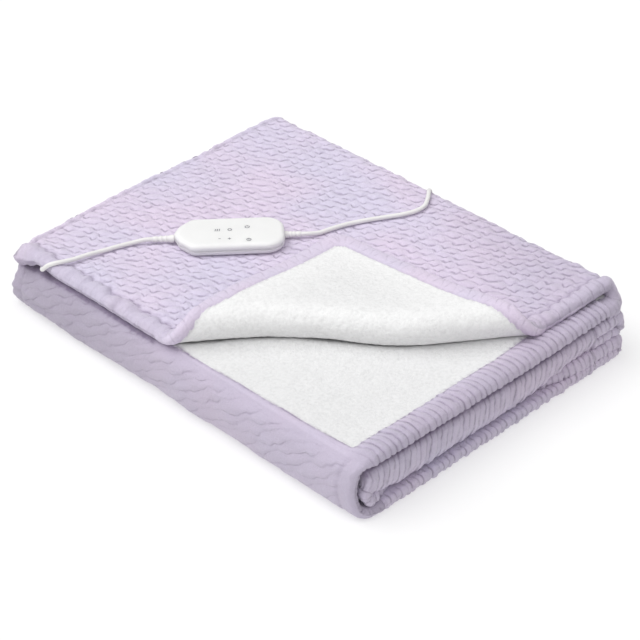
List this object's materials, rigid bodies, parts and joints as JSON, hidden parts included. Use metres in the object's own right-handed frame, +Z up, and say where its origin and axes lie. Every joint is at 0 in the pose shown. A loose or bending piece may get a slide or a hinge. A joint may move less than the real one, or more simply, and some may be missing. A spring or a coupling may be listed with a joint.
{
  "type": "electric heated blanket",
  "caption": "Folded electric heated throw of embossed plush with one corner turned back, an in-line hand control on its lead, and a mains cord with stored coil and plug.",
  "frame": {"origin": "under the middle of the folded stack and its hand control, on the floor; the mains cord, coil and plug aren't counted", "axes": "+X along the front right side of the stack, from the wrapped long side to the turned folds; +Y along its long side, towards the back; +Z up"},
  "size_m": [0.5278, 0.603, 0.1171],
  "materials": {
    "lavender_plush": "deep embossed plush, matt",
    "white_plastic": "satin moulded",
    "white_cord": "smooth flexible sheath",
    "nickel_pin": "plated"
  },
  "bodies": {
    "root": {"blanket": "lavender_plush", "blanket_relief": "white_cord", "lead_cord": "white_cord", "relief_left": "white_cord", "control_base": "white_plastic", "control_cover": "white_plastic", "relief_right": "white_cord", "mains_cord": "white_cord", "mains_coil": "white_cord", "plug_cord": "white_cord", "plug_relief": "white_cord", "plug_body": "white_plastic", "plug_pin_a": "nickel_pin", "plug_pin_b": "nickel_pin"}
  },
  "joints": []
}
